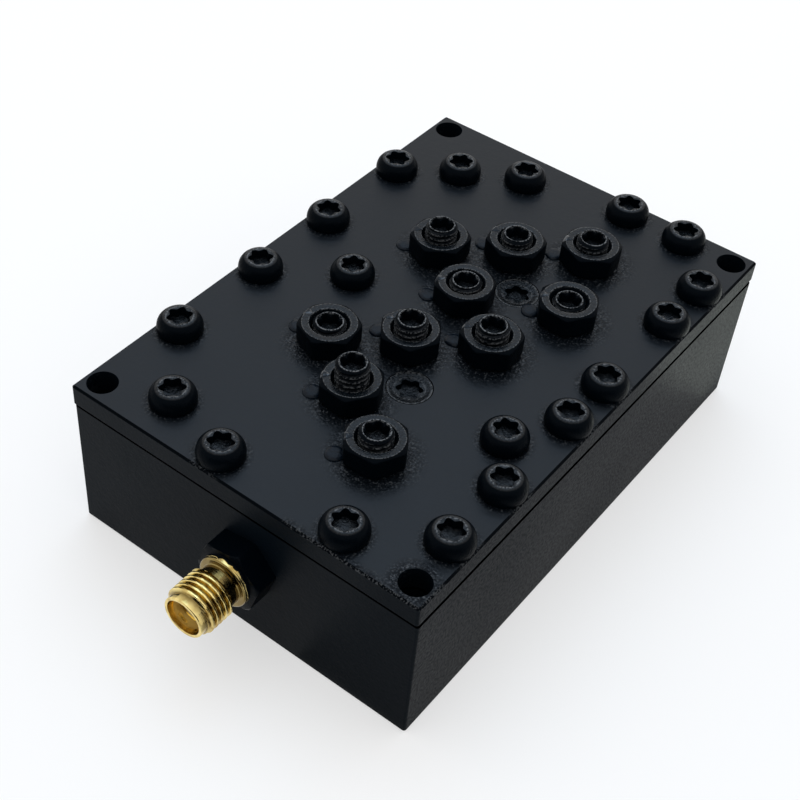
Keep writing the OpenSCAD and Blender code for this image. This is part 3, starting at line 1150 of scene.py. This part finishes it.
@dataclass
class SealingLacquer:
    """Lacquer that seals each nut: a pool on the lid and a film that runs up over the nut.

    Each taper is a distance along the film where it ends and how steeply it widens from there.
    """

    nuts: LockNuts
    pool_r: float = 1.2
    pool_h: float = 0.36
    pool_rows: tuple[float, ...] = (1.0, 1.0, 0.985, 0.95, 0.88, 0.76, 0.58, 0.34, 0.0)
    pool_columns: int = 48
    waves: Band = (0.06, 0.04)
    film: float = 0.07
    film_w: float = 0.6
    film_columns: int = 24
    sunk: float = 0.08
    side_z: tuple[float, ...] = (0.1, 0.3, 0.7, 1.2, 1.7, 2.1, 2.4, 2.6, 2.75, 2.87, 2.95)
    upright_rows: int = 6
    bend_deg: Band = (8.0, 70.0)
    top_rows: int = 7
    top_in: Band = (0.05, 0.08)
    low_taper: Band = (-0.25, 3.0)
    top_taper: Band = (1.03, 2.6)

    def pool(self, seed: int) -> Surface:
        """One flat pool with a round edge, on height 0.

        Its height is pool_h times (1 - s^4)^0.5 at the share s of its outline, which two slow waves make
        uneven.

        Args:
            seed: Number of the pool, which shifts the waves.

        Returns:
            Its surface, closed underneath.
        """
        angles = full_turn(self.pool_columns)
        share = np.array(self.pool_rows)[:, None]
        slow, quick = self.waves
        waves = slow * np.sin(2.0 * angles + seed) + quick * np.sin(3.0 * angles + 2.0 * seed)
        outline = self.pool_r * np.minimum(1.0 + waves, 1.0)
        heights = self.pool_h * (1.0 - share ** 4) ** 0.5
        return Surface.turned(angles, [Rows(MIDDLE, MIDDLE), Rows(share * outline[None, :], heights)])

    def run(self, way: float, turn: float) -> Surface:
        """The film on one nut whose middle is the origin.

        Its section goes once round: over the top the nut's own skin plus film times sqrt(1 - q^2) at the
        share q of the half width, and back underneath at a depth of sunk. Its rows go up the nut's side, over
        the edge and in to the thread, and the half width narrows to nothing at both ends.

        Args:
            way: Direction from the nut's middle to the pool, in radians.
            turn: Angle of one of the nut's corners, in radians.

        Returns:
            Its surface.
        """
        nut, sides, tops = self.nuts, len(self.side_z), self.top_rows
        z = np.array(self.side_z + (nut.height,) * tops)[:, None]
        bend = np.linspace(*self.bend_deg, sides - self.upright_rows)
        lean = np.radians(np.concatenate([np.zeros(self.upright_rows), bend, np.full(tops, 90.0)]))[:, None]
        along = np.linspace(0.0, 1.0, len(z))[:, None]
        low, top = ((along - end) * steep for end, steep in (self.low_taper, self.top_taper))
        half_w = self.film_w * np.sqrt(np.clip(np.minimum(low, -top), 0.0, 1.0))
        section = full_turn(self.film_columns)[None, :]
        lift = np.sin(section) * np.where(np.sin(section) > 0.0, self.film, self.sunk)
        angle = way + np.cos(section) * half_w / nut.top_r
        r = nut.side(z, angle - turn)
        r[sides:] = np.linspace(nut.top_r - self.top_in[0], nut.sink_r + self.top_in[1], tops)[:, None]
        r = r + lift * np.cos(lean)
        grid = np.stack([r * np.cos(angle), r * np.sin(angle), z + lift * np.sin(lean)], axis=-1)
        return Surface.gridded(grid, capped=True)

    def build(self, lacquer: Material) -> None:
        """Pour a pool where the CAD has a drop, and run its film up the nut beside it.

        Args:
            lacquer: Finish of the lacquer.
        """
        nuts = self.nuts.places()
        poured = []
        for number, solid in enumerate(solids_of("sealing_drops")):
            peak = solid[np.argmax(solid[:, 2])]
            x, y, turn = min(nuts, key=lambda nut: math.hypot(nut[0] - peak[0], nut[1] - peak[1]))
            way = math.atan2(peak[1] - y, peak[0] - x)
            poured.append(self.pool(number).moved(place_at(peak[0], peak[1], lid_top())))
            poured.append(self.run(way, turn).moved(place_at(x, y, lid_top())))
        piece = Surface.joined(poured).piece("sealing_drops_pooled", lacquer)
        stand_for(piece, "sealing_drops", BLOCK)


@dataclass
class TuningScrews:
    """Threaded tuning screws with a six-lobe recess, each on its own body."""

    thread_r: float = 2.0
    root_r: float = 1.62
    pitch: float = 0.7
    chamfer: float = 0.35
    chamfer_round: float = 0.08
    recess: SixLobeRecess = SixLobeRecess(outer=1.5, depth=1.6, mouth=1.53, lead=0.4)
    # Width and strength of the painted highlights on the thread's crests.
    crest: float = 0.06
    crest_glint: float = 0.6
    rows_per_turn: int = 12
    columns: int = 72
    sharp_deg: float = 40.0

    def screw(self, length: float) -> Surface:
        """One screw that hangs down from height 0.

        A cone at each end cuts the thread off, and the crests and the rim carry painted highlights.

        Args:
            length: Length of the screw.

        Returns:
            Its surface.
        """
        angles = full_turn(self.columns)
        z = np.linspace(-length, 0.0, int(length / self.pitch * self.rows_per_turn))[:, None]
        thread = thread_radius(z, angles, (self.root_r, self.thread_r), self.pitch)
        cone = self.thread_r - self.chamfer + np.minimum(-z, length + z)
        side = smooth_least(thread, cone, self.chamfer_round)
        trace = self.crest_glint * np.clip((side - self.thread_r) / self.crest + 1.0, 0.0, 1.0)
        trace[-1] = self.recess.rub
        foot = Rows(MIDDLE, MIDDLE - length)
        return Surface.turned(angles, [foot, Rows(side, z, trace), self.recess.rows(angles, 0.0)])

    def build(self, paint: Material) -> None:
        """Stand a threaded screw for every CAD screw that turns.

        Args:
            paint: Finish of the screws.
        """
        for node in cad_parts:
            if not node.rstrip("_0123456789").endswith("_screw"):
                continue
            low, high = box_mm(node)
            x, y, _ = (low + high) / 2.0
            one = self.screw(high[2] - low[2]).moved(place_at(x, y, high[2], x))
            stand_for(one.piece(f"{node}_threaded", paint, self.sharp_deg), node, node)


@dataclass
class Port:
    """Turned connector shell with a real thread, painted as far as its collar.

    Each row of the fillet is a distance out from the collar and a distance from the hexagon's face.
    """

    end: End
    hex_across: float = 8.0
    hex_l: float = 3.05
    hex_rows: tuple[float, ...] = (0.0, 0.3, 1.5, 2.5, 2.8, 2.9, 2.96, 3.0, 3.03)
    hex_turn_deg: float = 41.7
    hex_round: float = 0.06
    chamfer_deg: float = 30.0
    chamfer_l: float = 0.12
    chamfer_round: float = 0.1
    collar_r: float = 3.35
    collar_l: float = 0.9
    collar_round: float = 0.25
    collar_rows: int = 6
    fillet: tuple[Band, ...] = ((0.12, 0.0), (0.03, 0.04), (0.0, 0.14))
    neck_r: float = 2.6
    neck_l: float = 1.55
    neck_fillet: float = 0.1
    thread_r: float = 3.175
    root_r: float = 2.73
    thread_l: float = 3.5
    thread_run: float = 0.2
    pitch: float = 0.7056
    rows_per_turn: int = 18
    barrel_r: float = 2.7
    rim_round: Band = (0.15, 0.1)
    rim_rows: int = 5
    socket_r: float = 2.3
    socket_depth: float = 1.95
    bore_r: float = 2.1
    tail_r: float = 3.0
    tail_l: float = 5.0
    tail_tip: float = 0.3
    columns: int = 144
    sharp_deg: float = 40.0
    paint_over: float = 0.35
    # How far the neck's painted shade stops short of each end.
    grime_ends: Band = (0.17, 0.1)

    @property
    def collar_end(self) -> float:
        """Distance from the wall to the collar's front."""
        return self.hex_l + self.collar_l

    def _hexagon(self, angles: Array) -> Rows:
        """Rows of the hexagon: a smooth minimum of its outline and a chamfer cone at its face.

        Args:
            angles: Angles once round, in radians.

        Returns:
            The rows from the wall to the hexagon's face, which the two ends have in mirror image.
        """
        turn = self.hex_turn_deg if self.end is End.INPUT else 180.0 - self.hex_turn_deg
        s = np.array([*self.hex_rows, self.hex_l])[:, None]
        outline = hexagon_radius(angles - math.radians(turn), self.hex_across, self.hex_round)[None, :]
        slope = math.tan(math.radians(self.chamfer_deg))
        cone = self.hex_across / 2.0 + (self.hex_l + self.chamfer_l - s) / slope
        return Rows(smooth_least(outline, cone, self.chamfer_round), s)

    def _thread(self, angles: Array) -> Rows:
        """Rows of the thread, which a cone at each end cuts off.

        Args:
            angles: Angles once round, in radians.

        Returns:
            The rows from the neck to the barrel, with painted shade in the grooves.
        """
        run = self.thread_run
        start = self.collar_end + self.neck_l
        end = start + self.thread_l
        rows = int((self.thread_l + 2.0 * run) / self.pitch * self.rows_per_turn)
        s = np.linspace(start - run, end + run, rows)[:, None]
        full = thread_radius(s, angles, (self.root_r, self.thread_r), self.pitch)
        slope = (self.thread_r - self.neck_r) / run
        back = self.neck_r + (s - start + run) * slope
        front = self.barrel_r + (end + run - s) * slope
        radii = np.minimum(np.minimum(full, back), front)
        # Deeper in a groove, more painted shade.
        groove = 1.0 - np.clip((radii - self.root_r) / (self.thread_r - self.root_r), 0.0, 1.0)
        return Rows(radii, s, groove ** 2)

    def shell(self, length: float) -> Surface:
        """The whole shell with the wall at height 0 and its front rim at the length given.

        The hexagon, collar, neck, thread and rim are followed by the socket, the bore for the insulator and
        the tail in the wall.

        Args:
            length: Distance from the wall to the front rim.

        Returns:
            Its surface, a closed ring.
        """
        angles = full_turn(self.columns)
        hexagon = self._hexagon(angles)
        end, fillet, soft = self.collar_end, self.neck_fillet, self.collar_round
        collar = np.vstack([
            np.array(self.fillet) + (self.collar_r, self.hex_l),
            arc((self.collar_r - soft, end - soft), soft, 0.0, 90.0, self.collar_rows),
            [[self.neck_r + fillet, end], [self.neck_r, end + fillet]]])
        outer, inner = self.rim_round
        floor, tail = length - self.socket_depth, -self.tail_l
        socket = np.vstack([
            arc((self.barrel_r - outer, length - outer), outer, 0.0, 90.0, self.rim_rows),
            arc((self.socket_r + inner, length - inner), inner, 90.0, 180.0, self.rim_rows),
            [[self.socket_r, floor], [self.bore_r, floor], [self.bore_r, tail]],
            [[self.tail_r - self.tail_tip, tail], [self.tail_r, self.tail_tip + tail], [self.tail_r, 0.0]]])
        return Surface.turned(angles, [
            hexagon, Rows.round(collar), self._thread(angles), Rows.round(socket), hexagon.first()])

    def painted(self, gold: TurnedMetal, paint: SatinPaint) -> TurnedMetal:
        """Gold with paint over the hexagon and the start of the collar, and painted shade on the neck.

        Args:
            gold: The plating.
            paint: The paint.

        Returns:
            The shell's finish.
        """
        wall = box_mm("housing")[1][0]
        neck = wall + self.collar_end
        first, last = self.grime_ends
        return replace(
            gold, name="gold plate and paint", paint=paint, paint_edge_mm=wall + self.hex_l + self.paint_over,
            grime_mm=(neck - first, neck + self.neck_l - last))

    def build(self, gold: Material) -> None:
        """Set the shell on its end wall.

        Args:
            gold: Finish of the shell, with paint towards the wall.
        """
        node = f"{self.end.word}_shell"
        side = 0 if self.end is End.INPUT else 1
        wall, tip = (box_mm(one)[side][0] for one in ("housing", node))
        axis = middle_of(np.array(box_mm(f"{self.end.word}_insulator")))
        tilt = Matrix.Rotation(math.radians(90.0 * self.end.value), 4, "Y")
        laid = self.shell(abs(tip - wall)).moved(Matrix.Translation((wall, axis[1], axis[2])) @ tilt)
        stand_for(laid.piece(f"{node}_threaded", gold, self.sharp_deg), node, BLOCK)


@dataclass
class Block:
    """Housing and lid, which keep the CAD's shapes, with what the spray gun left on them.

    Each spray is an inner distance, an outer distance and a strength.
    """

    nuts: LockNuts
    nut_spray: Triple = (3.6, 6.6, 0.75)
    head_spray: Triple = (2.8, 3.9, 0.6)
    hole_spray: Triple = (2.0, 3.8, 0.8)
    edge_spray: Triple = (0.3, 1.5, 0.7)
    hole_inset: float = 2.4
    edge_out: float = 0.1
    edge_start: float = 0.5
    edge_step: float = 1.5
    edge_spots: int = 12
    # Depth of the painted shadow line on the housing just under the lid, and the shares of painted shade on
    # broken edges.
    gap: float = 0.3
    housing_shade: float = 0.75
    lid_shade: float = 0.6

    def sprays(self) -> tuple[DrySpray, ...]:
        """Grit on the lid: round nuts and heads, at the front corner's hole and along the input end's edge.

        Returns:
            The four sprays.
        """
        x, y, _ = (float(part) for part in box_mm("lid")[0])
        nuts = tuple((nut_x, nut_y) for nut_x, nut_y, _ in self.nuts.places())
        heads = tuple(tuple(middle_of(solid)[:2]) for solid in solids_of("lid_screws"))
        hole = ((x + self.hole_inset, y + self.hole_inset),)
        along = y + self.edge_start + self.edge_step * np.arange(self.edge_spots)
        edge = tuple((x - self.edge_out, spot) for spot in along)
        return (
            DrySpray(nuts, *self.nut_spray), DrySpray(heads, *self.head_spray),
            DrySpray(hole, *self.hole_spray), DrySpray(edge, *self.edge_spray))

    def build(self) -> None:
        """Paint the housing and the lid, with matt black painted shade on their broken edges and a painted
        shadow line on the housing just under the lid.
        """
        under = box_mm("lid")[0][2] - self.gap
        housing = SatinPaint("housing paint", edge_shade=self.housing_shade, shaded_above_mm=under)
        lid = SatinPaint("lid paint", edge_shade=self.lid_shade, sprays=self.sprays())
        dress("housing", housing.material())
        dress("lid", lid.material())


# Stage


@dataclass(frozen=True)
class Lamp:
    """Rectangular soft lamp that faces the block, in metres and watts."""

    name: str
    at: Point
    sides: Band
    watts: float
    tint: Colour
    mirrored: bool = False

    def hang(self) -> None:
        """Hang the lamp. Glossy surfaces show it only if it is mirrored."""
        data = bpy.data.lights.new(self.name, "AREA")
        data.shape = "RECTANGLE"
        data.size, data.size_y = self.sides
        data.energy = self.watts
        data.color = self.tint
        lamp = bpy.data.objects.new(self.name, data)
        lamp.visible_glossy = self.mirrored
        lamp.location = self.at
        lamp.rotation_euler = (-Vector(self.at)).to_track_quat("-Z", "Y").to_euler()
        bpy.context.scene.collection.objects.link(lamp)


@dataclass
class Studio:
    """White floor, soft light and the camera of the photograph."""

    camera_mm: Point = (-113.464, -69.623, 137.989)
    azimuth_deg: float = -54.1215
    elevation_deg: float = 45.14
    roll_deg: float = 3.64
    focal_px: float = 1461.19
    middle_px: Band = (344.8, 417.34)
    image_px: float = 800.0
    sensor_mm: float = 36.0
    clip_m: Band = (0.01, 10.0)
    floor_mm: Band = (-1500.0, 1500.0)
    floor_z_mm: float = -0.05
    sky: float = 0.75
    lamps: tuple[Lamp, ...] = (
        Lamp("overhead", (0.05, 0.1, 0.7), (0.9, 0.9), 1.9, (0.97, 0.99, 1.0)),
        Lamp("back", (0.36, 0.22, 0.79), (0.6, 0.6), 0.9, (0.5, 0.92, 1.45), mirrored=True))
    black: float = 0.01
    black_mm: float = 130.0
    black_deg: Band = (2.0, 36.0)
    black_rows: int = 17
    # The grey card stands for the floor's shadow beside the block as mirrored surfaces see it: a painted
    # shadow.
    grey: float = 0.65
    grey_mm: tuple[Band, Band] = ((-80.0, -36.5), (-70.0, -9.0))
    # The glowing card lights nothing and only mirrored rays see it: a painted reflection that brightens the
    # far end of the long side.
    bright: float = 1.85
    bright_mm: tuple[Band, Band] = ((33.0, 120.0), (-110.0, -25.6))

    def build(self) -> None:
        """Set up the view, the world, the floor, the lamps, the cards and the camera."""
        bpy.context.scene.view_settings.view_transform = "Standard"
        self._world()
        floor = Surface.sheet(self.floor_mm, self.floor_mm, self.floor_z_mm)
        floor.piece("floor", WhiteFloor().material())
        for lamp in self.lamps:
            lamp.hang()
        self._card(self._bent_card(), CardFace("black_card", self.black))
        self._card(Surface.sheet(*self.grey_mm), CardFace("grey_card", self.grey))
        self._card(Surface.sheet(*self.bright_mm), CardFace("bright_card", 0.0, self.bright))
        self._camera()

    def _world(self) -> None:
        """White where the background shows, and a plain level for the light that it gives."""
        world = bpy.data.worlds.new("white studio")
        bpy.context.scene.world = world
        world.use_nodes = True
        shader = Shader(world.node_tree)
        strength = shader.seen() * (1.0 - self.sky) + self.sky
        glow = shader.node("ShaderNodeBackground", {}, {"Color": WHITE, "Strength": strength})
        shader.node("ShaderNodeOutputWorld", {}, {"Surface": glow.outputs["Background"]})

    def _bent_card(self) -> Surface:
        """A bent card before the block.

        A point is reach (cos e f + sin e u) + s h, where e is its height angle, f the level way to the
        camera, u straight up and h level across the view.

        Returns:
            Its surface, a single skin.
        """
        azimuth = math.radians(self.azimuth_deg)
        front = np.array([math.sin(azimuth), -math.cos(azimuth), 0.0])
        across = np.array([math.cos(azimuth), math.sin(azimuth), 0.0])
        rise = np.radians(np.linspace(*self.black_deg, self.black_rows))[:, None]
        bend = self.black_mm * (np.cos(rise) * front + np.sin(rise) * np.array([0.0, 0.0, 1.0]))
        points = np.concatenate([bend - self.black_mm * across, bend + self.black_mm * across])
        low = np.arange(self.black_rows - 1)
        far = low + self.black_rows
        return Surface(points, np.stack([low, low + 1, far + 1, far], axis=-1))

    @staticmethod
    def _card(skin: Surface, face: CardFace) -> None:
        """Stand a card that only mirrored rays see.

        Args:
            skin: Its surface.
            face: Its finish, which gives it its name.
        """
        card = skin.piece(face.name, face.material())
        card.visible_camera = False
        card.visible_diffuse = False
        card.visible_shadow = False

    def _camera(self) -> None:
        """Stand the camera where the photograph was taken, with its roll and framing."""
        turns = (self.azimuth_deg, self.elevation_deg, self.roll_deg)
        azimuth, elevation, roll = (math.radians(turn) for turn in turns)
        level = math.cos(elevation)
        back = Vector((math.sin(azimuth) * level, -math.cos(azimuth) * level, math.sin(elevation)))
        right = (-back).cross(Vector((0.0, 0.0, 1.0))).normalized()
        up = right.cross(-back)
        across = math.cos(roll) * right + math.sin(roll) * up
        upward = math.cos(roll) * up - math.sin(roll) * right
        data = bpy.data.cameras.new("photograph")
        data.sensor_width = self.sensor_mm
        data.lens = self.sensor_mm * self.focal_px / self.image_px
        data.shift_x = (self.image_px / 2.0 - self.middle_px[0]) / self.image_px
        data.shift_y = (self.middle_px[1] - self.image_px / 2.0) / self.image_px
        data.clip_start, data.clip_end = self.clip_m
        camera = bpy.data.objects.new("photograph", data)
        turn = Matrix((across, upward, back)).transposed().to_4x4()
        camera.matrix_world = Matrix.Translation(Vector(self.camera_mm) * MM) @ turn
        bpy.context.scene.collection.objects.link(camera)
        bpy.context.scene.camera = camera


def main() -> None:
    """Build every sub-assembly, dress the CAD nodes that stay and set the stage."""
    logging.basicConfig(level=logging.INFO, format="%(name)s %(message)s")
    # Fastener slopes and flanks take the shaded copy, so that domes and sides stay dark: painted shade by
    # direction.
    paint = SatinPaint(
        "fastener paint", colour=(0.0018, 0.003, 0.0045), side_colour=(0.0005, 0.0016, 0.003),
        roughness=0.28, side_roughness=0.36, specular=0.24, side_specular=0.025, level_band=(0.86, 0.985),
        grit=0.22, glint_fleck=0.6, side_glint_fleck=0.0, peel_mm=0.7, grain_mm=0.28, top_grain=0.8, spray_grain=1.0,
        relief_mm=0.05)
    lacquer = CloudedCoat(
        "sealing lacquer", (0.0012, 0.0035, 0.007), 1.3, roughness=0.36, specular=0.15, relief_mm=0.12,
        wet_mm=(23.0, 24.0))
    # The dielectric's dark tan tone is painted shade deep in the socket.
    socket_dielectric = CloudedCoat(
        "shaded dielectric", (0.5, 0.38, 0.22), 0.9, roughness=0.45, specular=0.5, relief_mm=0.01)
    gold = TurnedMetal("gold plate", (0.95, 0.76, 0.31), (0.45, 0.3, 0.08), 0.15)
    aluminium = TurnedMetal("turned aluminium", (0.78, 0.79, 0.8), (0.68, 0.69, 0.7), 0.3, Axis.Z)
    copper = TurnedMetal("copper wire", (0.72, 0.4, 0.25), (0.6, 0.31, 0.18), 0.3, Axis.Y)
    fasteners = paint.material()
    nuts = LockNuts()
    nuts.build(fasteners)
    SealingLacquer(nuts).build(lacquer.material())
    LidScrews().build(fasteners)
    TuningScrews().build(fasteners)
    Block(nuts).build()
    shell_gold = Port(End.INPUT).painted(gold, paint).material()
    inside = {"insulator": socket_dielectric.material(), "contact": gold.material(), "tap": copper.material()}
    for end in End:
        Port(end).build(shell_gold)
        for piece, material in inside.items():
            dress(f"{end.word}_{piece}", material)
    posts = aluminium.material()
    for number in range(1, POLES + 1):
        dress(f"resonator_{number}", posts)
    Studio().build()


if __name__ == "__main__":
    main()
